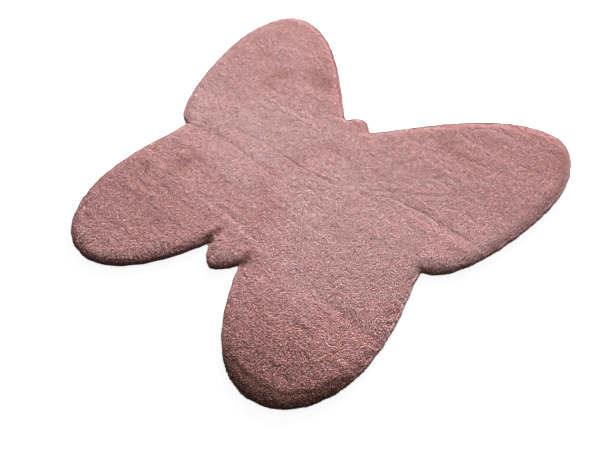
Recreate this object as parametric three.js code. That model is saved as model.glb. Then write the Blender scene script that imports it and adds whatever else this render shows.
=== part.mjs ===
import * as THREE from 'three';
import { ImprovedNoise } from 'three/addons/math/ImprovedNoise.js';
import { mergeVertices } from 'three/addons/utils/BufferGeometryUtils.js';

// A plush floor rug in the shape of a butterfly, lying flat with its pile up.
// It is one cut piece: pile and backing in one, with no binding and no seam that shows.
// Millimetres. +X runs across the wings, +Y along the body towards the head, +Z up.
// The origin is the middle of the rug's outer box, on the flat underside.

// Driving dimensions
const THICKNESS = 20; // backing and standing pile together
const WIDEST_AT = 8; // height at which the pile at the rim bulges out furthest
const SHOULDER = 26; // width of the rounded shoulder where the pile falls away to the rim
const BASE_INSET = 6; // how far the underside stays back from the widest pile
const CORNER_FILL = 8; // length on each side of a re-entrant corner that the pile fills in
const CORNER_FACES = 4; // faces round each filled corner
const RIM_STEP = 12; // spacing of the points round the rim
const FIELD_STEP = 13; // spacing of the points over the top
const FIELD_JITTER = 0.14; // share of that spacing by which they stray
const FIELD_CLEARANCE = 0.45; // share of it that they keep from the shoulder's inner edge
const SHOULDER_SHARE = 0.8; // share of half the width that the shoulder takes up where narrow
const PILE_ROSE = '#b58a88';

// The right half of the outline, clockwise from the head to the tail. Each place has the
// handles of its curves as [direction in degrees, length]: the one before it, then after it.
const STATIONS = [
  { place: 'head top', x: 0, y: 199, before: [180, 12], after: [0, 12] },
  { place: 'head corner', x: 32, y: 173, before: [112, 12], after: [46, 92] },
  { place: 'upper wing top', x: 347, y: 421, before: [180, 124], after: [0, 54] },
  { place: 'upper wing side', x: 430, y: 268, before: [90, 85], after: [-90, 88] },
  { place: 'side notch', x: 303, y: -58, before: [0, 67], after: [-83, 78] },
  { place: 'lower wing side', x: 328, y: -245, before: [90, 92], after: [-90, 89] },
  { place: 'lower wing end', x: 200, y: -421, before: [0, 80], after: [180, 80] },
  { place: 'tail corner', x: 38.5, y: -252, before: [-71, 62], after: [-100, 10] },
  { place: 'tail tip', x: 0, y: -293, before: [0, 13], after: [180, 13] },
];

// Strokes left in the pile where it was brushed or pressed: the middle of each, its direction
// in degrees, its length and width, and how far it sinks (or rises, where it is negative).
const STROKES = [
  { x: -20, y: 45, turn: 68, length: 150, width: 62, sink: 1.4 }, // pressed patch on the body
  { x: -35, y: -85, turn: 100, length: 190, width: 66, sink: 1.5 }, // the same, further back
  { x: -165, y: 240, turn: -12, length: 96, width: 62, sink: 1.3 },
  { x: -258, y: 178, turn: 38, length: 100, width: 34, sink: 1.1 },
  { x: -215, y: -155, turn: 10, length: 110, width: 60, sink: 1.1 },
  { x: 215, y: 228, turn: -8, length: 130, width: 54, sink: 1.0 },
  { x: 290, y: 45, turn: 1, length: 210, width: 22, sink: 1.2 }, // long line on the right wing
  { x: 200, y: 84, turn: 33, length: 130, width: 24, sink: -1.0 },
  { x: -70, y: 0, turn: 2, length: 280, width: 20, sink: -0.9 },
  { x: -225, y: -62, turn: 4, length: 150, width: 24, sink: 1.3 }, // crease from the left notch
  { x: 215, y: -215, turn: -5, length: 220, width: 24, sink: 1.1 },
  { x: -85, y: -100, turn: 12, length: 80, width: 28, sink: -1.0 },
];

// Lumps that keep the top from being level, longer across the wings than along the body,
const TOP_LUMPS = [
  { alongX: 170, alongY: 62, height: 1.0 },
  { alongX: 64, alongY: 34, height: 0.6 },
];
// and the waves of locks that keep the rim from being even
const LOCK_WAVES = [
  { spacing: 37, phase: 0.7, height: 0.5 },
  { spacing: 53, phase: 3.9, height: 0.4 },
];

const lumpNoise = new ImprovedNoise();

const plan = (x, y) => new THREE.Vector2(x, y);

const fromHandle = (station, [degrees, length]) => {
  const angle = THREE.MathUtils.degToRad(degrees);
  return plan(station.x + length * Math.cos(angle), station.y + length * Math.sin(angle));
};

const mirrored = ({ place, x, y, before, after }) => ({
  place,
  x: -x,
  y,
  before: [180 - after[0], after[1]],
  after: [180 - before[0], before[1]],
});

// At a smooth place the handle before and the one after point opposite ways
const isCorner = ({ before, after }) => (
  THREE.MathUtils.euclideanModulo(after[0] - before[0], 360) !== 180
);

// Points along one curve of the outline, kept back from a corner at either end
function pointsAlong(curve, keptBackAtStart, keptBackAtEnd) {
  const length = curve.getLength();
  const start = keptBackAtStart / length;
  const end = 1 - keptBackAtEnd / length;
  const count = Math.max(1, Math.round(((end - start) * length) / RIM_STEP));
  const points = [];
  for (let i = 0; i <= count; i += 1) {
    points.push(curve.getPointAt(start + ((end - start) * i) / count));
  }
  return points;
}

// The whole outline of the widest pile, counterclockwise, with its corners softly filled
function smoothOutline() {
  const leftHalf = STATIONS.slice(1, -1).reverse().map(mirrored);
  const stations = [...STATIONS, ...leftHalf];
  const keptBack = stations.map((station) => (isCorner(station) ? CORNER_FILL : 0));
  const ring = [];
  stations.forEach((station, i) => {
    const j = (i + 1) % stations.length;
    const next = stations[j];
    const curve = new THREE.CubicBezierCurve(
      plan(station.x, station.y),
      fromHandle(station, station.after),
      fromHandle(next, next.before),
      plan(next.x, next.y),
    );
    const points = pointsAlong(curve, keptBack[i], keptBack[j]);
    const last = points.at(-1);
    ring.push(...points.slice(0, -1));
    if (keptBack[j] > 0) {
      const corner = plan(next.x, next.y);
      const away = fromHandle(next, next.after).sub(corner).setLength(CORNER_FILL);
      const fill = new THREE.QuadraticBezierCurve(last, corner, corner.clone().add(away));
      ring.push(...fill.getPoints(CORNER_FACES).slice(0, -1));
    }
  });
  return ring.reverse();
}

// The inward direction at each point of a counterclockwise ring
function inwardDirections(ring) {
  return ring.map((_, i) => {
    const before = ring.at(i - 1);
    const after = ring[(i + 1) % ring.length];
    return plan(before.y - after.y, after.x - before.x).normalize();
  });
}

// The outline with the slight in and out of the locks of pile along it
function lockedOutline() {
  const ring = smoothOutline();
  const inward = inwardDirections(ring);
  let travelled = 0;
  return ring.map((point, i) => {
    travelled += i > 0 ? point.distanceTo(ring[i - 1]) : 0;
    const lock = LOCK_WAVES.reduce((sum, { spacing, phase, height }) => (
      sum + height * Math.sin((2 * Math.PI * travelled) / spacing + phase)
    ), 0);
    return point.clone().addScaledVector(inward[i], lock);
  });
}

// The largest inset at each point before it would meet the inset from another side
function roomInside(ring, inward) {
  return ring.map((point, i) => {
    let room = Infinity;
    ring.forEach((other) => {
      const across = other.clone().sub(point);
      const ahead = across.dot(inward[i]);
      if (ahead > 0) room = Math.min(room, across.lengthSq() / (2 * ahead));
    });
    return room;
  });
}

function distanceToRing(ring, point) {
  let nearest = Infinity;
  const foot = new THREE.Vector3();
  const place = new THREE.Vector3(point.x, point.y, 0);
  ring.forEach((start, i) => {
    const end = ring[(i + 1) % ring.length];
    const side = new THREE.Line3(
      new THREE.Vector3(start.x, start.y, 0),
      new THREE.Vector3(end.x, end.y, 0),
    );
    side.closestPointToPoint(place, true, foot);
    nearest = Math.min(nearest, foot.distanceTo(place));
  });
  return nearest;
}

function isInside(ring, point) {
  let inside = false;
  ring.forEach((start, i) => {
    const end = ring[(i + 1) % ring.length];
    if (start.y > point.y === end.y > point.y) return;
    const crossing = start.x + ((point.y - start.y) / (end.y - start.y)) * (end.x - start.x);
    if (crossing > point.x) inside = !inside;
  });
  return inside;
}

function strokeDepth(stroke, x, y) {
  const turn = THREE.MathUtils.degToRad(stroke.turn);
  const along = (x - stroke.x) * Math.cos(turn) + (y - stroke.y) * Math.sin(turn);
  const across = (y - stroke.y) * Math.cos(turn) - (x - stroke.x) * Math.sin(turn);
  const reach = (along / (stroke.length / 2)) ** 4 + (across / (stroke.width / 2)) ** 2;
  return stroke.sink * Math.exp(-reach);
}

// Height of the pile's surface at a place, given how far that place is from the outline
function pileHeight(x, y, inset) {
  const onShoulder = Math.min(inset / SHOULDER, 1);
  const crown = Math.sqrt(1 - (1 - onShoulder) ** 2);
  const lumps = TOP_LUMPS.reduce((sum, { alongX, alongY, height }, i) => (
    sum + height * lumpNoise.noise(x / alongX, y / alongY, 3.7 * i + 0.5)
  ), 0);
  const strokes = STROKES.reduce((sum, stroke) => sum + strokeDepth(stroke, x, y), 0);
  return WIDEST_AT + (THICKNESS - WIDEST_AT) * crown + (lumps - strokes) * onShoulder;
}

// Rows round the rim, each [how far in, height]: up from the underside to the widest pile
const RIM_TURNS = [-90, -40, 0];
// and from there over the shoulder, as shares of a quarter turn
const SHOULDER_TURNS = [22, 45, 67, 90];

// The unevenly spaced points over the flat middle, kept in whole cells of a grid
function fieldCells(edge) {
  const furthest = Math.max(...STATIONS.flatMap(({ x, y }) => [x, Math.abs(y)]));
  const reach = Math.ceil(furthest / FIELD_STEP);
  const clearance = FIELD_CLEARANCE * FIELD_STEP;
  const name = (i, j) => `${i},${j}`;
  const points = new Map();
  for (let i = -reach; i <= reach; i += 1) {
    for (let j = -reach; j <= reach; j += 1) {
      const x = (i + FIELD_JITTER * Math.sin(5.1 * i + 3.7 * j)) * FIELD_STEP;
      const y = (j + FIELD_JITTER * Math.sin(2.3 * i - 4.9 * j + 1)) * FIELD_STEP;
      const point = plan(x, y);
      if (isInside(edge, point) && distanceToRing(edge, point) > clearance) {
        points.set(name(i, j), point);
      }
    }
  }
  const cells = new Set();
  for (let i = -reach; i < reach; i += 1) {
    for (let j = -reach; j < reach; j += 1) {
      const corners = [name(i, j), name(i + 1, j), name(i + 1, j + 1), name(i, j + 1)];
      if (corners.every((corner) => points.has(corner))) cells.add(name(i, j));
    }
  }
  return { points, cells, name };
}

// Cells that touch only at a corner are left out, so that each loop of edges is a simple one
function dropTouchingCells({ cells, name }) {
  let dropped = true;
  while (dropped) {
    dropped = false;
    for (const cell of [...cells]) {
      const [i, j] = cell.split(',').map(Number);
      for (const side of [-1, 1]) {
        const diagonal = cells.has(name(i + side, j + 1));
        const beside = cells.has(name(i + side, j)) || cells.has(name(i, j + 1));
        if (diagonal && !beside) dropped = cells.delete(cell) || dropped;
      }
    }
  }
}

// The loops of edges round the cells, clockwise, as names of points
function loopsRound({ cells, name }) {
  const nextOf = new Map();
  for (const cell of cells) {
    const [i, j] = cell.split(',').map(Number);
    if (!cells.has(name(i, j - 1))) nextOf.set(name(i + 1, j), name(i, j));
    if (!cells.has(name(i + 1, j))) nextOf.set(name(i + 1, j + 1), name(i + 1, j));
    if (!cells.has(name(i, j + 1))) nextOf.set(name(i, j + 1), name(i + 1, j + 1));
    if (!cells.has(name(i - 1, j))) nextOf.set(name(i, j), name(i, j + 1));
  }
  const loops = [];
  while (nextOf.size > 0) {
    const loop = [];
    let at = nextOf.keys().next().value;
    while (nextOf.has(at)) {
      loop.push(at);
      const next = nextOf.get(at);
      nextOf.delete(at);
      at = next;
    }
    loops.push(loop);
  }
  return loops;
}

// A list of corner points, three to a face, that becomes one closed shape
class Skin {
  constructor() {
    this.corners = [];
  }

  face(a, b, c) {
    for (const point of [a, b, c]) this.corners.push(point.x, point.y, point.z);
  }

  band(lower, upper) {
    lower.forEach((point, i) => {
      const j = (i + 1) % lower.length;
      this.face(point, lower[j], upper[j]);
      this.face(point, upper[j], upper[i]);
    });
  }

  geometry() {
    const shape = new THREE.BufferGeometry();
    shape.setAttribute('position', new THREE.Float32BufferAttribute(this.corners, 3));
    return mergeVertices(shape, 1e-3);
  }
}

function rimRow(ring, inward, insets, heightOf) {
  return ring.map((point, i) => {
    const moved = point.clone().addScaledVector(inward[i], insets[i]);
    return new THREE.Vector3(moved.x, moved.y, heightOf(moved, i));
  });
}

function underside(skin, ring) {
  const flat = ring.map((point) => plan(point.x, point.y));
  for (const [a, b, c] of THREE.ShapeUtils.triangulateShape(flat, [])) {
    skin.face(ring[a], ring[c], ring[b]);
  }
}

// True where the far corner d lies inside the circle through a, b and c
function crowds(a, b, c, d) {
  const rows = [a, b, c].map((point) => {
    const x = point.x - d.x;
    const y = point.y - d.y;
    return [x, y, x * x + y * y];
  });
  return new THREE.Matrix3().set(...rows.flat()).determinant() > 1e-6;
}

// Swaps the side that two flat faces share wherever the other diagonal gives plumper faces
function plumped(faces, points) {
  const kept = faces.map((face) => [...face]);
  let swapped = true;
  while (swapped) {
    swapped = false;
    const owners = new Map();
    kept.forEach((face, at) => {
      face.forEach((_, k) => owners.set(`${face[k]},${face[(k + 1) % 3]}`, [at, k]));
    });
    const changed = new Set();
    for (const [side, [at, k]] of owners) {
      const [from, to] = side.split(',').map(Number);
      const across = owners.get(`${to},${from}`);
      if (!across || changed.has(at) || changed.has(across[0])) continue;
      const near = kept[at][(k + 2) % 3];
      const far = kept[across[0]][(across[1] + 2) % 3];
      if (!crowds(points[from], points[to], points[near], points[far])) continue;
      kept[at] = [near, from, far];
      kept[across[0]] = [far, to, near];
      changed.add(at).add(across[0]);
      swapped = true;
    }
  }
  return kept;
}

function topSurface(skin, edge, outline) {
  const field = fieldCells(edge);
  dropTouchingCells(field);
  const { points, cells, name } = field;
  const lifted = new Map();
  const lift = (key) => {
    if (!lifted.has(key)) {
      const { x, y } = points.get(key);
      const height = pileHeight(x, y, distanceToRing(outline, points.get(key)));
      lifted.set(key, new THREE.Vector3(x, y, height));
    }
    return lifted.get(key);
  };
  for (const cell of cells) {
    const [i, j] = cell.split(',').map(Number);
    const [a, b] = [lift(name(i, j)), lift(name(i + 1, j))];
    const [c, d] = [lift(name(i + 1, j + 1)), lift(name(i, j + 1))];
    skin.face(a, b, c);
    skin.face(a, c, d);
  }
  const loops = loopsRound(field);
  const holes = loops.map((loop) => loop.map((key) => points.get(key)));
  const border = [...edge, ...loops.flat().map(lift)];
  const flat = edge.map((point) => plan(point.x, point.y));
  const faces = THREE.ShapeUtils.triangulateShape(flat, holes);
  for (const [a, b, c] of plumped(faces, border)) {
    skin.face(border[a], border[b], border[c]);
  }
}

function plushRug() {
  const outline = lockedOutline();
  const inward = inwardDirections(outline);
  const room = roomInside(outline, inward)
    .map((most) => Math.min(SHOULDER, SHOULDER_SHARE * most));
  const skin = new Skin();

  const baseRows = RIM_TURNS.map((turn) => {
    const angle = THREE.MathUtils.degToRad(turn);
    const insets = outline.map(() => BASE_INSET * (1 - Math.cos(angle)));
    return rimRow(outline, inward, insets, () => WIDEST_AT * (1 + Math.sin(angle)));
  });
  const shoulderRows = SHOULDER_TURNS.map((turn) => {
    const angle = THREE.MathUtils.degToRad(turn);
    const insets = room.map((most) => most * (1 - Math.cos(angle)));
    return rimRow(outline, inward, insets, ({ x, y }, i) => pileHeight(x, y, insets[i]));
  });

  const rows = [...baseRows, ...shoulderRows];
  for (let i = 1; i < rows.length; i += 1) skin.band(rows[i - 1], rows[i]);
  underside(skin, rows[0]);
  topSurface(skin, rows.at(-1), outline);

  const geometry = skin.geometry();
  geometry.computeBoundingBox();
  const middle = geometry.boundingBox.getCenter(new THREE.Vector3());
  geometry.translate(-middle.x, -middle.y, 0);
  geometry.computeVertexNormals();
  const pile = new THREE.MeshStandardMaterial({ color: PILE_ROSE, roughness: 0.95, metalness: 0 });
  const rug = new THREE.Mesh(geometry, pile);
  rug.name = 'rug';
  return rug;
}

const part = new THREE.Group();
part.add(plushRug());
export default part;
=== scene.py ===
import math

import bmesh
import bpy
import numpy as np
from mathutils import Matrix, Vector
from mathutils.kdtree import KDTree


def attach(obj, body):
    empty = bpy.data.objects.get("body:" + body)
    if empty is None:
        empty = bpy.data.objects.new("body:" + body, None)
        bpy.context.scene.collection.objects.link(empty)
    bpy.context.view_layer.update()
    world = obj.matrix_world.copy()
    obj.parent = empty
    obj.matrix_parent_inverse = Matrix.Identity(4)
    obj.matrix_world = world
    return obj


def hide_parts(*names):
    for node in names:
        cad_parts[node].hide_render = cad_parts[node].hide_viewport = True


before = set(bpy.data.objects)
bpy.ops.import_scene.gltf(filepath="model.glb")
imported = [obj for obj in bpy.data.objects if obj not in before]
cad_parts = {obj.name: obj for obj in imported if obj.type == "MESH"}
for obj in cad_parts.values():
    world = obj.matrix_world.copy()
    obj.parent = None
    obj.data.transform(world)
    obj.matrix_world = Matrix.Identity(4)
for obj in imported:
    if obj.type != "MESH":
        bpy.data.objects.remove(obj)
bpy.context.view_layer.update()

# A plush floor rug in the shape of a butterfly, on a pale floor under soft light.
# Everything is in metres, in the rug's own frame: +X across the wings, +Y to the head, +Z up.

MM = 0.001
RUG = "rug"

# The view: where the photograph was taken from, and how steeply it looks down
CAMERA_PLACE = Vector((409, -536, 772)) * MM
CAMERA_PITCH = math.radians(54.69)
CAMERA_HEADING = math.radians(39.0)
CAMERA_LENS = 29.25
CAMERA_NEAREST = 10 * MM
SENSOR_WIDTH = 36.0

# The light: a soft round lamp beyond the head, and a weak even sky
KEY_PLACE = (-1.28, 3.45, 1.58)
KEY_SIZE = 1.2
KEY_POWER = 1250
KEY_TINT = (1, 0.98, 0.96)
SKY_TINT = (1.0, 0.985, 0.97, 1)
SKY_STRENGTH = 0.25

# The floor is a light table: it glows, so that shadows on it stay faint, and throws no light back
FLOOR_SIZE = 12
FLOOR_DROP = 0.2 * MM
FLOOR_GREY = (0.5, 0.5, 0.5, 1)
FLOOR_LIGHT = (1, 1, 1, 1)
FLOOR_GLOW = 0.86

# The surface that the tips reach: the rug's solid in even, smoothed faces
TOP_FACES = 4 * MM
SMOOTHING = 0.5
SMOOTHING_ROUNDS = 3
JOIN_WITHIN = 0.01 * MM     # points of the solid that lie this near are one point
SHORTEST = 1e-9             # no direction is worked out from less than this
RIM_UPWARD = 0.5            # upward part of the outward direction up to which it is all rim
TOP_UPWARD = 0.95           # and from which it is all top

# The standing body of the pile, under that surface
UNDER_TIPS = 2.8 * MM       # how far under it on top
UNDER_RIM = 0.9 * MM        # and at the rim
BODY_FADE = 7 * MM          # height over which the body draws in from the underside
BODY_START = 0.5 * MM       # height of its own underside
BODY_ALONG = 0.1            # it has the colour that a tuft has this far up from its root
# Painted shade on the body deep in the pile, as a shade level: full at the rim, half on top
BODY_SHADE_RIM = 1.0
BODY_SHADE_TOP = 0.5

# The ground cloth on the underside, with its knitted rows
CLOTH_THICKNESS = 1.2 * MM
CLOTH_INSET = 1 * MM        # how far in from the edge of the solid's underside it ends
CLOTH_LEVEL = 0.1 * MM      # faces of the solid that reach above this aren't its underside
CLOTH_ROWS = 60             # how close the rows lie
CLOTH_WAVER = 1.5           # how far they waver
CLOTH_WAVER_SIZE = 4        # and how quickly

# The tufts of pile: each one is a small closed bud with a root, a belly and a tip
SEED = 7
TRIED_PER_MM2 = 1.3         # places tried, of which one stays in each cell of this size
CELL = (1.5 * MM, 1.62 * MM, 1.5 * MM)
ONE_LAYER_UPWARD = 0.8      # where the surface faces up this much, the cells have one layer
PILE_START = 1.2 * MM       # lowest place on the rim that grows pile
TUFT_LENGTH = 4.8 * MM
LENGTH_SPREAD = 0.15        # chance difference to each side, as a share
TUFT_RADIUS = 0.52 * MM
RADIUS_SPREAD = 0.25
BELLY = 0.5                 # where a tuft is widest, as a share of its length
BELLY_LIFT = 0.55 * MM
TUFT_LEAN = 58              # degrees from upright
RIM_LEAN = 72               # and at the rim, where they hang down
LEAN_SPREAD = 8             # and by chance
NAP_TURN = -98              # plan direction that the tufts lie in, from +X, in degrees
NAP_SPREAD = 14             # and by chance
NAP_AT_RIM = 0.2            # share of the nap's pull that is left at the rim
ROLL_SPREAD = 0.25          # chance turn of a tuft about its own length, in radians
TIP_SPREAD = 0.28 * MM      # chance height of a tip
RISE_AT_RIM = 0.2           # share of the waves and locks that is left at the rim
LOWEST_ROOT = 0.6 * MM      # heights that the roots, the tips and every point stay above
LOWEST_TIP = 0.8 * MM
LOWEST_POINT = 0.3 * MM

# A tuft's points are its root, the two sides of its belly and its tip, numbered from 0
TUFT_POINTS = 4
TUFT_FACES = ((0, 2, 1), (1, 2, 3), (0, 1, 3), (0, 3, 2))

# The tips meet in small locks, longer across the nap than along it
LOCK_SIZE_X = 4.0 * MM
LOCK_SIZE_Y = 2.0 * MM
LOCK_SHIFT = 0.36           # chance place of a lock in its cell, to each side, as a share
LOCK_HEIGHT = 0.55 * MM     # how much higher its middle stands than its edge
LOCK_LEVEL = 0.6            # how near the middle it is level with the surface, 1 at the middle
LOCK_CHANCE = 0.16 * MM     # the most that chance raises or lowers a whole lock
GATHER_X = 0.1              # how far a tip reaches towards the middle of its lock, as shares
GATHER_Y = 0.45

# Soft noises: size of the lumps along X and Y in mm, reach in mm (for the nap in degrees), seed
RELIEF_LONG = (110, 5.4, 0.3, 10)
RELIEF_SHORT = (40, 3.6, 0.1, 11)
RELIEF_BEND_X = (34, 20, 5, 13)
RELIEF_BEND_Y = (26, 16, 3, 14)
NAP_SLOW = (160, 90, 10, 21)
NAP_QUICK = (24, 14, 5, 22)
CREASE_BEND_X = (14, 14, 2.5, 41)
CREASE_BEND_Y = (14, 14, 2.5, 42)
LOCK_BEND_X = (17, 9, 2.4, 52)
LOCK_BEND_Y = (15, 8, 2.0, 53)
CELL_BEND_X = (11, 9, 1.6, 61)
CELL_BEND_Y = (11, 9, 1.6, 62)
LOCK_SEED = 51
TABLE_SIZE = 256            # cells to each side in a table of chance numbers
NOISE_START = 100           # cell of a noise's table that lies at the middle of the rug
LOCKS_START = 300           # and cell of the locks

# Painted shade at the rug's edges: full on those that face away from the lamp, where shade falls,
# and also on those that face the lamp
WALL_UPWARD = 0.3           # the widest line is where the surface faces up or down less than this
DARK_FACING = -70           # middle of the directions that the edges away from the lamp face, in degrees from +X
DARK_FULL = 40              # degrees to each side of it where the dark is full
DARK_GONE = 67              # and where it has gone
DARK_LEVEL = 0.85
DARK_REACH = 3 * MM         # how far in from the widest line the dark is half gone
DARK_SOFT = 9 * MM          # and over what width it goes
BACK_FACING = 100           # edges that face this way, towards the lamp, get painted shade as well
BACK_FULL = 0.8             # cosine of the turn from it where their dark is full
BACK_GONE = 0.3             # and where it has gone
BACK_LEVEL = 0.9
BACK_REACH = 8 * MM

# Where the painted shade at the edge reaches further in: columns as in the patches of painted shade
# and light below, with the added reach in mm
WIDER_RIM_SHADE = (
    (228, -395, 0, 110, 60, 18),
    (-160, -410, 0, 130, 50, 2.5),
)

# Patches of painted shade and painted light where the nap is brushed, and painted shadow in the
# folds by the tail notch and along the near tip: middle x, y in mm, turn in degrees, half length,
# half width, and how much darker (or, below zero, lighter) the pile looks there
NAP_SHADE_AND_LIGHT = (
    (-150, 240, -10, 40, 27, 0.30),
    (-245, 185, 65, 38, 13, 0.22),
    (-238, 145, 35, 22, 12, 0.22),
    (-332, 236, 0, 24, 13, 0.16),
    (-200, 308, -10, 24, 12, 0.14),
    (212, 230, -10, 44, 17, 0.17),
    (8, 75, 0, 32, 15, 0.20),
    (-35, 5, 60, 34, 16, 0.12),
    (-45, -85, 115, 44, 17, 0.16),
    (0, -140, 80, 40, 18, 0.15),
    (-218, -150, 90, 30, 17, 0.14),
    (-270, -206, 0, 20, 12, 0.15),
    (322, 12, 20, 30, 12, 0.16),
    (300, -166, 0, 18, 9, 0.14),
    (362, 286, 10, 26, 10, 0.12),
    (392, 345, 80, 40, 18, 0.14),
    (8, 165, 0, 20, 12, 0.14),
    (-305, 295, 80, 42, 20, -0.13),
    (-205, 40, -10, 34, 12, -0.18),
    (-150, 5, -32, 62, 18, -0.18),
    (-85, -32, 5, 38, 10, -0.16),
    (-240, 0, 5, 40, 12, -0.10),
    (-210, 100, 4, 40, 9, -0.12),
    (-110, 78, 4, 34, 8, -0.10),
    (-68, 144, 10, 16, 10, -0.12),
    (56, 34, 0, 20, 14, -0.14),
    (106, 20, 38, 40, 9, -0.16),
    (245, 146, 38, 62, 9, -0.16),
    (280, 336, 0, 44, 9, -0.15),
    (234, 272, 10, 16, 8, -0.12),
    (58, -92, 20, 22, 16, -0.13),
    (112, -115, -5, 34, 12, -0.10),
    (-145, -186, 5, 28, 11, -0.12),
    (-30, -198, -2, 110, 7, -0.12),
    (140, -205, -5, 60, 7, -0.12),
    (170, -240, 0, 38, 12, -0.10),
    (248, -280, 10, 18, 12, -0.12),
    (-90, -112, 10, 34, 14, -0.11),
    (342, 60, -4, 36, 8, -0.10),
    (-200, -310, -3, 60, 8, -0.07),
    (-41, -238, 75, 17, 7, 0.5),
    (43, -242, 110, 17, 7, 0.45),
    (62, -240, 150, 22, 10, 0.16),
    (172, -401, 0, 34, 11, 0.34),
    (226, -399, 10, 34, 12, 0.4),
    (276, -371, 42, 28, 11, 0.36),
    (302, -330, 65, 30, 10, 0.24),
)

# How strongly these patches of painted shade and light show
NAP_SHADE_AND_LIGHT_STRENGTH = 1.15

# Fine creases in the pile: points x, y in mm along each, and how deep it is in mm
CREASES = (
    (((-300, -64), (-250, -54), (-200, -50), (-130, -54), (-50, -60)), 0.9),
    (((-205, -12), (-120, -2), (-40, -8), (60, -4)), 0.9),
    (((188, 44), (250, 50), (320, 44), (388, 47)), 0.9),
    (((98, -200), (180, -212), (270, -226), (322, -222)), 0.5),
    (((126, 30), (185, 68), (252, 108)), 0.9),
    (((-172, -196), (-60, -190), (40, -200)), 0.8),
    (((300, -148), (312, -156), (306, -168), (320, -178), (312, -188)), 1.8),
    (((-392, 240), (-372, 246), (-352, 240)), 1.0),
    (((-300, -345), (-276, -352), (-262, -366)), 1.2),
    (((-160, 118), (-110, 112), (-60, 120)), 0.8),
    (((140, -390), (182, -397), (221, -396), (262, -378), (290, -345), (303, -310)), 0.8),
)
CREASE_WIDTH = 3.2 * MM

# Painted light falloff over the whole rug: slow changes of painted shade and light, darker towards
# the near tip and the lower left wing, lighter across the middle, in the columns of the patches
# above
BROAD_SHADE_AND_LIGHT = (
    (0, 40, 0, 480, 190, -0.17),
    (250, -400, 0, 220, 120, 0.42),
    (-240, -290, 0, 190, 190, 0.2),
    (-20, -190, 0, 90, 60, 0.06),
    (300, -240, 0, 70, 90, 0.08),
    (-150, 30, 0, 90, 90, -0.07),
    (120, -120, 0, 150, 80, -0.05),
)

# How a patch fades outward: exp(-0.7), about half, is left at its half length, and then it
# falls away faster than a plain bell curve
PATCH_LOSS = 0.7
PATCH_EDGE = 1.4

# How dark a tuft is before the marks, from 0 to 1: the least, and the most that chance adds
SHADE_LEAST = 0.12
SHADE_SPREAD = 0.5

# The colour map of the tufts: width of one tuft on it, and its empty edge
PALETTE_WIDTH = 0.008
PALETTE_MARGIN = 0.05

# The pile is parted into six pieces: at the middle of the body, and along these lines across it
UPPER_FROM = 135 * MM
LOWER_FROM = -85 * MM


# From colours as a screen shows them, 0 to 255, to the amounts of light that a shader takes
SCREEN_FULL = 255
SCREEN_GAMMA = 2.2


def colour(red, green, blue):
    """A colour given as it looks on a screen, as the shader wants it."""
    return tuple((c / SCREEN_FULL) ** SCREEN_GAMMA for c in (red, green, blue)) + (1.0,)


# Colours of the pile: the darker root is partly the fibre's deeper colour and partly painted shade
# deep in the pile
ROOT_COLOUR = colour(160, 102, 102)
TIP_COLOUR = colour(248, 223, 224)
# How each level of shade changes them: shade is random tone plus painted shade and light, and its
# darkest, olive-brown end is the painted shade of the rim and the folds
SHADES = (
    (0.0, colour(247, 255, 255)),
    (0.33, colour(235, 226, 225)),
    (0.63, colour(210, 184, 181)),
    (0.8, colour(174, 150, 144)),
    (1.0, colour(108, 88, 73)),
)

# Sockets of a colour mix: its factor and its two colours, and the colour that comes out
MIX_INPUTS = (0, 6, 7)
MIX_RESULT = 2

# Colours of the ground cloth: the darker is painted shade in the grooves between the knitted rows
CLOTH_GROOVE = colour(140, 112, 107)
CLOTH_RIDGE = colour(170, 140, 134)


def link(name, data):
    obj = bpy.data.objects.new(name, data)
    bpy.context.scene.collection.objects.link(obj)
    return obj


def make_camera():
    data = bpy.data.cameras.new("camera")
    data.sensor_width = SENSOR_WIDTH
    data.lens = CAMERA_LENS
    data.clip_start = CAMERA_NEAREST
    camera = link("camera", data)
    camera.location = CAMERA_PLACE
    camera.rotation_euler = (math.pi / 2 - CAMERA_PITCH, 0, CAMERA_HEADING)
    bpy.context.scene.camera = camera


def make_key_light():
    """The lamp, turned to the middle of the rug."""
    data = bpy.data.lights.new("key", "AREA")
    data.shape = "DISK"
    data.size = KEY_SIZE
    data.energy = KEY_POWER
    data.color = KEY_TINT
    light = link("key", data)
    light.location = KEY_PLACE
    light.rotation_euler = (-Vector(KEY_PLACE)).to_track_quat("-Z", "Y").to_euler()


def make_sky():
    world = bpy.data.worlds.new("studio")
    world.use_nodes = True
    sky = world.node_tree.nodes["Background"]
    sky.inputs["Color"].default_value = SKY_TINT
    sky.inputs["Strength"].default_value = SKY_STRENGTH
    bpy.context.scene.world = world
    bpy.context.scene.view_settings.view_transform = "Standard"


def make_floor():
    bpy.ops.mesh.primitive_plane_add(size=FLOOR_SIZE, location=(0, 0, -FLOOR_DROP))
    floor = bpy.context.object
    floor.name = "floor"
    material = bpy.data.materials.new("floor")
    material.use_nodes = True
    shader = material.node_tree.nodes["Principled BSDF"]
    shader.inputs["Base Color"].default_value = FLOOR_GREY
    shader.inputs["Roughness"].default_value = 0.9
    shader.inputs["Emission Color"].default_value = FLOOR_LIGHT
    shader.inputs["Emission Strength"].default_value = FLOOR_GLOW
    floor.data.materials.append(material)
    floor.visible_diffuse = False
    floor.visible_glossy = False


def soft_step(share):
    """A share from 0 to 1, eased at both ends."""
    return share * share * (3 - 2 * share)


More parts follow.
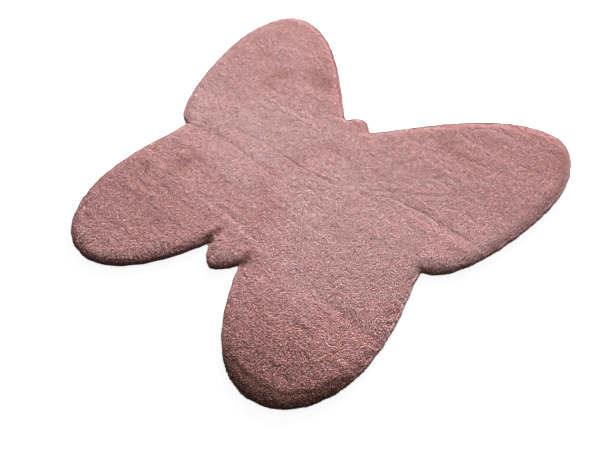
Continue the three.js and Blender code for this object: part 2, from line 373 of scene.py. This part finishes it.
def soft_noise(x, y, size_x, size_y, seed):
    """Smooth noise from -1 to 1 at plan places, with lumps of this size along X and Y."""
    rng = np.random.default_rng(seed)
    table = rng.uniform(-1, 1, (TABLE_SIZE, TABLE_SIZE))
    u = x / size_x + NOISE_START
    v = y / size_y + NOISE_START
    i = np.floor(u).astype(int)
    j = np.floor(v).astype(int)
    s = soft_step(u - i)
    t = soft_step(v - j)
    i0, i1 = i % TABLE_SIZE, (i + 1) % TABLE_SIZE
    j0, j1 = j % TABLE_SIZE, (j + 1) % TABLE_SIZE
    low = table[i0, j0] * (1 - s) + table[i1, j0] * s
    high = table[i0, j1] * (1 - s) + table[i1, j1] * s
    return low * (1 - t) + high * t


def sway(noise, x, y):
    """One of the listed noises at plan places, in the unit of its reach."""
    size_x, size_y, reach, seed = noise
    return reach * soft_noise(x, y, size_x * MM, size_y * MM, seed)


def between(at_rim, on_top, share):
    """A value that goes from the first at the rim to the second on top."""
    return at_rim + (on_top - at_rim) * share


def applied_mesh(obj, name):
    """The object's mesh with its modifiers applied, as a new mesh."""
    graph = bpy.context.evaluated_depsgraph_get()
    mesh = bpy.data.meshes.new_from_object(obj.evaluated_get(graph), depsgraph=graph)
    mesh.name = name
    return mesh


def merged_solid(name):
    """A copy of the rug's solid, with the points that lie together joined."""
    joined = bmesh.new()
    joined.from_mesh(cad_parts[RUG].data)
    bmesh.ops.remove_doubles(joined, verts=joined.verts, dist=JOIN_WITHIN)
    mesh = bpy.data.meshes.new(name)
    joined.to_mesh(mesh)
    joined.free()
    return mesh


def even_surface(name):
    """The outer surface of the rug's solid, in even faces."""
    obj = link("merged", merged_solid("merged"))
    even = obj.modifiers.new("even", "REMESH")
    even.mode = "VOXEL"
    even.voxel_size = TOP_FACES
    smooth = obj.modifiers.new("smooth", "SMOOTH")
    smooth.factor = SMOOTHING
    smooth.iterations = SMOOTHING_ROUNDS
    surface = applied_mesh(obj, name)
    bpy.data.objects.remove(obj)
    return surface


def points_of(mesh):
    flat = np.zeros(len(mesh.vertices) * 3)
    mesh.vertices.foreach_get("co", flat)
    return flat.reshape(-1, 3)


def normals_of(mesh):
    flat = np.zeros(len(mesh.vertices) * 3)
    mesh.vertices.foreach_get("normal", flat)
    return flat.reshape(-1, 3)


def triangles_of(mesh):
    mesh.calc_loop_triangles()
    flat = np.zeros(len(mesh.loop_triangles) * 3, int)
    mesh.loop_triangles.foreach_get("vertices", flat)
    return flat.reshape(-1, 3)


def unit(vectors):
    return vectors / np.maximum(np.linalg.norm(vectors, axis=1, keepdims=True), SHORTEST)


def mesh_from(name, points, faces):
    """A mesh of triangles from arrays."""
    mesh = bpy.data.meshes.new(name)
    mesh.vertices.add(len(points))
    mesh.vertices.foreach_set("co", points.astype(np.float32).ravel())
    mesh.loops.add(faces.size)
    mesh.loops.foreach_set("vertex_index", faces.astype(np.int32).ravel())
    mesh.polygons.add(len(faces))
    mesh.polygons.foreach_set("loop_start", np.arange(0, faces.size, 3, dtype=np.int32))
    mesh.update(calc_edges=True)
    mesh.polygons.foreach_set("use_smooth", np.ones(len(faces), bool))
    return mesh


def number_on(mesh, name, values):
    attribute = mesh.attributes.new(name, "FLOAT", "POINT")
    attribute.data.foreach_set("value", values.astype(np.float32))


def relief(x, y):
    """How far the tips stand above or below the even surface: low waves that run across the nap."""
    x = x + MM * sway(RELIEF_BEND_X, x, y)
    y = y + MM * sway(RELIEF_BEND_Y, x, y)
    return MM * (sway(RELIEF_LONG, x, y) + sway(RELIEF_SHORT, x, y))


def locks(x, y):
    """The lock of each tuft: the way to its middle, how near that is, and its chance number."""
    rng = np.random.default_rng(LOCK_SEED)
    shift_x, shift_y, chance = rng.uniform(-LOCK_SHIFT, LOCK_SHIFT, (3, TABLE_SIZE, TABLE_SIZE))
    u = (x + MM * sway(LOCK_BEND_X, x, y)) / LOCK_SIZE_X + LOCKS_START
    v = (y + MM * sway(LOCK_BEND_Y, x, y)) / LOCK_SIZE_Y + LOCKS_START
    i = np.floor(u).astype(int)
    j = np.floor(v).astype(int)
    nearest = np.full(len(x), np.inf)
    way_x, way_y, number = np.zeros((3, len(x)))
    for di in (-1, 0, 1):
        for dj in (-1, 0, 1):
            a = (i + di) % TABLE_SIZE
            b = (j + dj) % TABLE_SIZE
            to_x = i + di + 0.5 + shift_x[a, b] - u
            to_y = j + dj + 0.5 + shift_y[a, b] - v
            gap = np.hypot(to_x, to_y)
            closer = gap < nearest
            nearest = np.where(closer, gap, nearest)
            way_x = np.where(closer, to_x * LOCK_SIZE_X, way_x)
            way_y = np.where(closer, to_y * LOCK_SIZE_Y, way_y)
            number = np.where(closer, chance[a, b] / LOCK_SHIFT, number)
    return way_x, way_y, np.clip(1 - nearest, 0, 1), number


def nap_direction(x, y):
    """Plan direction that the tufts lie in, as an angle."""
    return np.radians(NAP_TURN + sway(NAP_SLOW, x, y) + sway(NAP_QUICK, x, y))


def soft_patches(patches, x, y):
    """The sum of soft oval patches at plan places."""
    total = np.zeros(len(x))
    for middle_x, middle_y, turn, half_length, half_width, amount in patches:
        angle = math.radians(turn)
        right = x / MM - middle_x
        up = y / MM - middle_y
        u = (right * math.cos(angle) + up * math.sin(angle)) / half_length
        v = (up * math.cos(angle) - right * math.sin(angle)) / half_width
        total += amount * np.exp(-PATCH_LOSS * (u * u + v * v) ** PATCH_EDGE)
    return total


def gap_to_run(x, y, start, end):
    """Distance of plan places from the straight run between two points given in mm."""
    run_x = (end[0] - start[0]) * MM
    run_y = (end[1] - start[1]) * MM
    from_x = x - start[0] * MM
    from_y = y - start[1] * MM
    share = np.clip((from_x * run_x + from_y * run_y) / (run_x**2 + run_y**2), 0, 1)
    return np.hypot(from_x - share * run_x, from_y - share * run_y)


def crease_depth(x, y):
    """How deep the tips lie in the creases at plan places."""
    x = x + MM * sway(CREASE_BEND_X, x, y)
    y = y + MM * sway(CREASE_BEND_Y, x, y)
    total = np.zeros(len(x))
    for places, depth in CREASES:
        gaps = [gap_to_run(x, y, *run) for run in zip(places, places[1:])]
        nearest = np.min(gaps, axis=0)
        total += depth * MM * np.exp(-((nearest / CREASE_WIDTH) ** 2))
    return total


def one_in_each_cell(place, out):
    """Which places to keep, so that each small cell of space holds no more than one."""
    bend = np.zeros((len(place), 3))
    bend[:, 0] = MM * sway(CELL_BEND_X, place[:, 0], place[:, 1])
    bend[:, 1] = MM * sway(CELL_BEND_Y, place[:, 0], place[:, 1])
    cell = np.floor((place + bend) / CELL).astype(int)
    cell[out[:, 2] > ONE_LAYER_UPWARD, 2] = 0
    cell -= cell.min(axis=0)
    rows, layers = cell[:, 1:].max(axis=0) + 1
    key = (cell[:, 0] * rows + cell[:, 1]) * layers + cell[:, 2]
    return np.sort(np.unique(key, return_index=True)[1])


def scatter(surface, rng):
    """Even random places on the pile's surface, with the direction that faces out there."""
    points = points_of(surface)
    normals = normals_of(surface)
    corners = triangles_of(surface)
    a, b, c = (points[corners[:, k]] for k in range(3))
    area = np.linalg.norm(np.cross(b - a, c - a), axis=1) / 2
    grows = (a + b + c)[:, 2] / 3 > PILE_START
    wanted = area / MM**2 * TRIED_PER_MM2 * grows
    count = np.floor(wanted + rng.random(len(wanted))).astype(int)
    chosen = np.repeat(np.arange(len(corners)), count)
    u = rng.random(len(chosen))
    v = rng.random(len(chosen))
    over = u + v > 1
    u = np.where(over, 1 - u, u)
    v = np.where(over, 1 - v, v)
    shares = (1 - u - v, u, v)
    corners = corners[chosen]
    place = sum(points[corners[:, k]] * s[:, None] for k, s in enumerate(shares))
    out = unit(sum(normals[corners[:, k]] * s[:, None] for k, s in enumerate(shares)))
    kept = one_in_each_cell(place, out)
    return place[kept], out[kept]


def facing_up(upward):
    """From 0 on the rim to 1 on the top, for the upward part of an outward direction."""
    return np.clip((upward - RIM_UPWARD) / (TOP_UPWARD - RIM_UPWARD), 0, 1)


def tuft_directions(place, out, on_top, rng):
    """The way that each tuft lies: with the nap on top, hanging down at the rim."""
    count = len(place)
    angle = nap_direction(place[:, 0], place[:, 1]) + np.radians(rng.normal(0, NAP_SPREAD, count))
    nap = np.stack([np.cos(angle), np.sin(angle), np.zeros(count)], 1)
    down = np.array([0, 0, -1.0])
    lie = nap * between(NAP_AT_RIM, 1, on_top)[:, None] + down * (1 - on_top)[:, None]
    lie = unit(lie - out * (lie * out).sum(1, keepdims=True))
    lean = between(RIM_LEAN, TUFT_LEAN, on_top) + rng.normal(0, LEAN_SPREAD, count)
    lean = np.radians(lean)[:, None]
    return unit(out * np.cos(lean) + lie * np.sin(lean))


def tip_places(place, out, on_top, rng):
    """Where the tufts end: on the surface, raised by waves and locks, sunk in the creases."""
    x, y = place[:, 0], place[:, 1]
    way_x, way_y, near, number = locks(x, y)
    rise = relief(x, y) + LOCK_HEIGHT * (near - LOCK_LEVEL) + LOCK_CHANCE * number
    rise = rise * between(RISE_AT_RIM, 1, on_top) - crease_depth(x, y) * on_top
    rise += TIP_SPREAD * rng.normal(0, 1, len(x))
    tip = place + out * rise[:, None]
    tip[:, 0] += GATHER_X * way_x * on_top
    tip[:, 1] += GATHER_Y * way_y * on_top
    return tip


def tuft_ends(place, out, rng):
    """Roots and tips of the tufts that stand at these places."""
    on_top = facing_up(out[:, 2])
    along = tuft_directions(place, out, on_top, rng)
    tip = tip_places(place, out, on_top, rng)
    length = TUFT_LENGTH * rng.uniform(1 - LENGTH_SPREAD, 1 + LENGTH_SPREAD, len(place))
    root = tip - along * length[:, None]
    root[:, 2] = np.maximum(root[:, 2], LOWEST_ROOT)
    tip[:, 2] = np.maximum(tip[:, 2], LOWEST_TIP)
    return root, tip


def edge_places(surface, place):
    """How far in from the rug's widest line each place is, and which way the edge there faces."""
    points, normals = points_of(surface), normals_of(surface)
    wall = np.flatnonzero(np.abs(normals[:, 2]) < WALL_UPWARD)
    tree = KDTree(len(wall))
    for number, (x, y) in enumerate(points[wall, :2]):
        tree.insert((x, y, 0), number)
    tree.balance()
    found = [tree.find((x, y, 0))[1:] for x, y in place[:, :2]]
    nearest, gap = (np.array(column) for column in zip(*found))
    facing = np.arctan2(normals[wall, 1], normals[wall, 0])[nearest]
    return gap, facing


def within(reach, gap):
    """From 1 at the rug's widest line to 0 further in, half gone at this reach."""
    return np.clip(0.5 + (reach - gap) / DARK_SOFT, 0, 1)


def painted_rim_shade(surface, place):
    """How much painted shade the edge puts on the pile: most on the edges that face away from the
    lamp.
    """
    gap, facing = edge_places(surface, place)
    turned = np.degrees(facing) - DARK_FACING
    turned = np.abs((turned + 180) % 360 - 180)
    front = DARK_LEVEL * np.clip((DARK_GONE - turned) / (DARK_GONE - DARK_FULL), 0, 1)
    turned_back = np.cos(facing - math.radians(BACK_FACING))
    back = BACK_LEVEL * np.clip((turned_back - BACK_GONE) / (BACK_FULL - BACK_GONE), 0, 1)
    # how much further in the painted shade at the edge reaches
    wider_reach = soft_patches(WIDER_RIM_SHADE, place[:, 0], place[:, 1]) * MM
    return front * within(DARK_REACH + wider_reach, gap) + back * within(BACK_REACH, gap)


def tuft_shade(surface, place, rng):
    """How dark each tuft is, from 0 to 1: by chance, by the painted light falloff over the rug, by
    the patches of painted shade and light, and by the painted shade at the rim.
    """
    x, y = place[:, 0], place[:, 1]
    shade = SHADE_LEAST + SHADE_SPREAD * rng.random(len(x)) + soft_patches(BROAD_SHADE_AND_LIGHT, x, y)
    shade += NAP_SHADE_AND_LIGHT_STRENGTH * soft_patches(NAP_SHADE_AND_LIGHT, x, y)
    return np.clip(shade + painted_rim_shade(surface, place) * (1 - shade), 0, 1)


def tuft_points(root, tip, out, rng):
    """Root, two sides of the belly and tip of each tuft."""
    count = len(root)
    along = unit(tip - root)
    level = unit(np.cross(along, out))
    upright = np.cross(level, along)
    roll = rng.normal(0, ROLL_SPREAD, count)[:, None]
    side = level * np.cos(roll) + upright * np.sin(roll)
    lift = upright * np.cos(roll) - level * np.sin(roll)
    radius = TUFT_RADIUS * rng.uniform(1 - RADIUS_SPREAD, 1 + RADIUS_SPREAD, count)[:, None]
    belly = root + BELLY * (tip - root) + BELLY_LIFT * lift
    points = np.stack([root, belly + radius * side, belly - radius * side, tip], 1)
    points[:, :, 2] = np.maximum(points[:, :, 2], LOWEST_POINT)
    return points


def tuft_mesh(name, root, tip, out, shade, rng):
    """Closed four-faced buds, joined into one mesh."""
    count = len(root)
    points = tuft_points(root, tip, out, rng)
    first = np.arange(count)[:, None] * TUFT_POINTS
    faces = np.concatenate([first + face for face in TUFT_FACES], 1)
    mesh = mesh_from(name, points.reshape(-1, 3), faces.reshape(-1, 3))
    alongs = np.tile([0.0, BELLY, BELLY, 1.0], count)
    shades = np.repeat(shade, TUFT_POINTS)
    number_on(mesh, "along", alongs)
    number_on(mesh, "shade", shades)
    spread = np.tile([0.0, -PALETTE_WIDTH, PALETTE_WIDTH, 0.0], count)
    palette = PALETTE_MARGIN + (1 - 2 * PALETTE_MARGIN) * np.stack([alongs, shades + spread], 1)
    corners = np.zeros(faces.size, np.int32)
    mesh.loops.foreach_get("vertex_index", corners)
    layer = mesh.uv_layers.new(name="OFBake")
    layer.data.foreach_set("uv", palette[corners].astype(np.float32).ravel())
    return mesh


def pile_material():
    """Dark at the root, partly the fibre's deeper colour and partly painted shade deep in the pile,
    pale at the tip, then darkened by the tuft's shade: random tone plus painted shade and light.
    """
    material = bpy.data.materials.new("plush_pile")
    material.use_nodes = True
    nodes, links = material.node_tree.nodes, material.node_tree.links
    shader = nodes["Principled BSDF"]

    def attribute(name):
        node = nodes.new("ShaderNodeAttribute")
        node.attribute_name = name
        return node.outputs["Fac"]

    def blend(kind, factor, first, second):
        node = nodes.new("ShaderNodeMix")
        node.data_type = "RGBA"
        node.blend_type = kind
        for socket, value in zip(MIX_INPUTS, (factor, first, second)):
            if isinstance(value, bpy.types.NodeSocket):
                links.new(value, node.inputs[socket])
            else:
                node.inputs[socket].default_value = value
        return node.outputs[MIX_RESULT]

    root_to_tip = blend("MIX", attribute("along"), ROOT_COLOUR, TIP_COLOUR)
    ramp = nodes.new("ShaderNodeValToRGB")
    links.new(attribute("shade"), ramp.inputs["Fac"])
    steps = ramp.color_ramp.elements
    steps[0].position, steps[0].color = SHADES[0]
    steps[1].position, steps[1].color = SHADES[-1]
    for position, tone in SHADES[1:-1]:
        steps.new(position).color = tone
    shaded = blend("MULTIPLY", 1.0, root_to_tip, ramp.outputs["Color"])
    links.new(shaded, shader.inputs["Base Color"])
    shader.inputs["Roughness"].default_value = 0.85
    shader.inputs["Specular IOR Level"].default_value = 0.1
    shader.inputs["Sheen Weight"].default_value = 0.1
    shader.inputs["Sheen Roughness"].default_value = 0.5
    return material


def body_mesh():
    """The standing body of the pile under the tips, with painted shade that is darkest at the rim.
    """
    body = merged_solid("rug_body")
    points, normals = points_of(body), normals_of(body)
    fade = np.clip(points[:, 2] / BODY_FADE, 0, 1)
    on_top = facing_up(normals[:, 2])
    depth = fade * between(UNDER_RIM, UNDER_TIPS, on_top)
    moved = points - normals * depth[:, None]
    moved[:, 2] = np.maximum(moved[:, 2], BODY_START)
    body.vertices.foreach_set("co", moved.astype(np.float32).ravel())
    body.update()
    body.polygons.foreach_set("use_smooth", np.ones(len(body.polygons), bool))
    number_on(body, "along", np.full(len(points), BODY_ALONG))
    number_on(body, "shade", between(BODY_SHADE_RIM, BODY_SHADE_TOP, on_top))
    return body


def draw_in(cloth, distance):
    """Moves the open edge of a flat mesh inward in its plane."""
    inward = {}
    for edge in [e for e in cloth.edges if e.is_boundary]:
        first, last = (v.co for v in edge.verts)
        across = Vector((first.y - last.y, last.x - first.x, 0)).normalized()
        middle = edge.link_faces[0].calc_center_median()
        if across.dot(middle - first) < 0:
            across = -across
        for vertex in edge.verts:
            inward[vertex] = inward.get(vertex, Vector()) + across
    for vertex, way in inward.items():
        vertex.co += way.normalized() * distance


def cloth_mesh():
    """The ground cloth: a thin slab cut to the rug's flat underside."""
    cloth = bmesh.new()
    cloth.from_mesh(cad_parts[RUG].data)
    bmesh.ops.remove_doubles(cloth, verts=cloth.verts, dist=JOIN_WITHIN)
    upper = [f for f in cloth.faces if max(v.co.z for v in f.verts) > CLOTH_LEVEL]
    bmesh.ops.delete(cloth, geom=upper, context="FACES")
    draw_in(cloth, CLOTH_INSET)
    raised = bmesh.ops.extrude_face_region(cloth, geom=list(cloth.faces))
    top = [v for v in raised["geom"] if isinstance(v, bmesh.types.BMVert)]
    bmesh.ops.translate(cloth, verts=top, vec=(0, 0, CLOTH_THICKNESS))
    bmesh.ops.recalc_face_normals(cloth, faces=cloth.faces)
    mesh = bpy.data.meshes.new("ground_cloth")
    cloth.to_mesh(mesh)
    cloth.free()
    return mesh


def cloth_material():
    """Fine knitted rows in two close tones, the darker one painted shade in the grooves between
    them.
    """
    material = bpy.data.materials.new("ground_cloth")
    material.use_nodes = True
    nodes, links = material.node_tree.nodes, material.node_tree.links
    shader = nodes["Principled BSDF"]
    place = nodes.new("ShaderNodeNewGeometry")
    rows = nodes.new("ShaderNodeTexWave")
    rows.bands_direction = "Y"
    rows.inputs["Scale"].default_value = CLOTH_ROWS
    rows.inputs["Distortion"].default_value = CLOTH_WAVER
    rows.inputs["Detail Scale"].default_value = CLOTH_WAVER_SIZE
    links.new(place.outputs["Position"], rows.inputs["Vector"])
    ramp = nodes.new("ShaderNodeValToRGB")
    ramp.color_ramp.elements[0].color = CLOTH_GROOVE
    ramp.color_ramp.elements[1].color = CLOTH_RIDGE
    links.new(rows.outputs["Fac"], ramp.inputs["Fac"])
    links.new(ramp.outputs["Color"], shader.inputs["Base Color"])
    shader.inputs["Roughness"].default_value = 0.9
    return material


def pile_pieces(material):
    """All the tufts, in six pieces."""
    surface = even_surface("surface")
    rng = np.random.default_rng(SEED)
    place, out = scatter(surface, rng)
    root, tip = tuft_ends(place, out, rng)
    shade = tuft_shade(surface, place, rng)
    left = place[:, 0] < 0
    upper = place[:, 1] > UPPER_FROM
    lower = place[:, 1] < LOWER_FROM
    parts = {
        "pile_upper_left": left & upper,
        "pile_upper_right": ~left & upper,
        "pile_middle_left": left & ~upper & ~lower,
        "pile_middle_right": ~left & ~upper & ~lower,
        "pile_lower_left": left & lower,
        "pile_lower_right": ~left & lower,
    }
    pieces = []
    for name, mask in parts.items():
        mesh = tuft_mesh(name, root[mask], tip[mask], out[mask], shade[mask], rng)
        mesh.materials.append(material)
        pieces.append(link(name, mesh))
    return pieces


def make_rug():
    pile = pile_material()
    body = body_mesh()
    body.materials.append(pile)
    body_piece = link("rug_body", body)
    cloth = cloth_mesh()
    cloth.materials.append(cloth_material())
    cloth_piece = link("ground_cloth", cloth)
    tuft_pieces = pile_pieces(pile)
    for piece in (body_piece, cloth_piece, *tuft_pieces):
        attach(piece, "root")
        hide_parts(RUG)


make_camera()
make_sky()
make_key_light()
make_floor()
make_rug()

bpy.context.view_layer.update()
